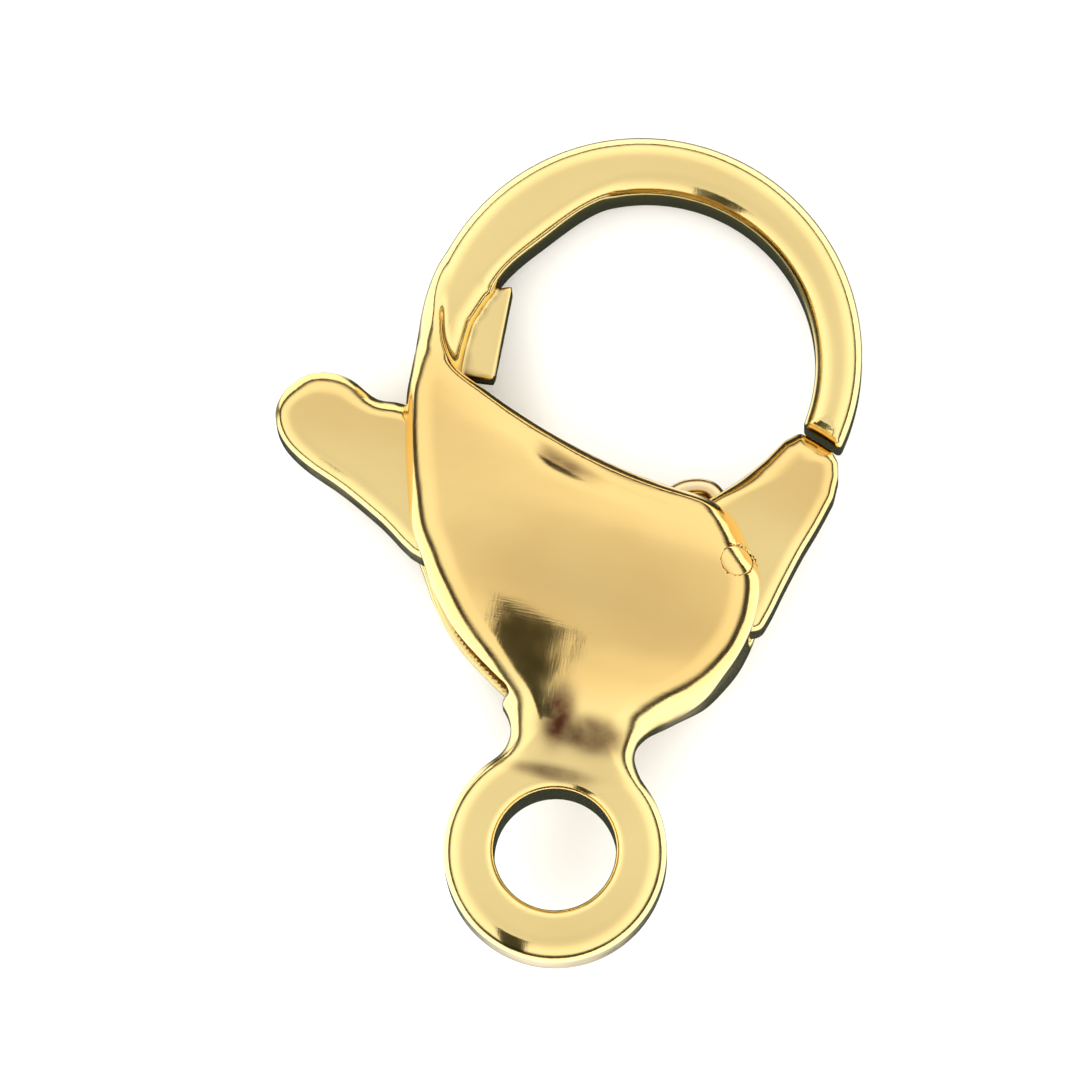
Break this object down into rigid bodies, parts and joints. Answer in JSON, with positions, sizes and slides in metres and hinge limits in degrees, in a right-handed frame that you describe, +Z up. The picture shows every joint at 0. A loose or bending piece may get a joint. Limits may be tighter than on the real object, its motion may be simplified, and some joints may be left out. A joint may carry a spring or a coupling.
{
  "type": "lobster clasp",
  "caption": "Lobster clasp of polished gold-coloured metal, with a round hook, a plump slotted body, a sprung gate with a thumb tab, and a ring for a jump ring.",
  "frame": {"origin": "centre of the hole in the ring", "axes": "+Z up from the surface that the clasp lies on, +Y towards the hook, -X towards the thumb tab"},
  "size_m": [0.0082, 0.012, 0.0034],
  "materials": {
    "gold_metal": "polished, gold plated",
    "spring_steel": "drawn wire"
  },
  "bodies": {
    "body": {"body": "gold_metal", "pivot_pin": "gold_metal", "spring": "spring_steel"},
    "gate": {"gate": "gold_metal"}
  },
  "joints": [
    {"name": "gate_swing", "type": "hinge", "parent": "body", "child": "gate", "pos_m": [0.00176, 0.00441, -0.00078], "axis": [0, 0.175, 0.9846], "range_deg": [0, 30], "stiffness_Nm_per_rad": 0.001, "springref_deg": -17.19, "deforming": ["spring"]}
  ]
}
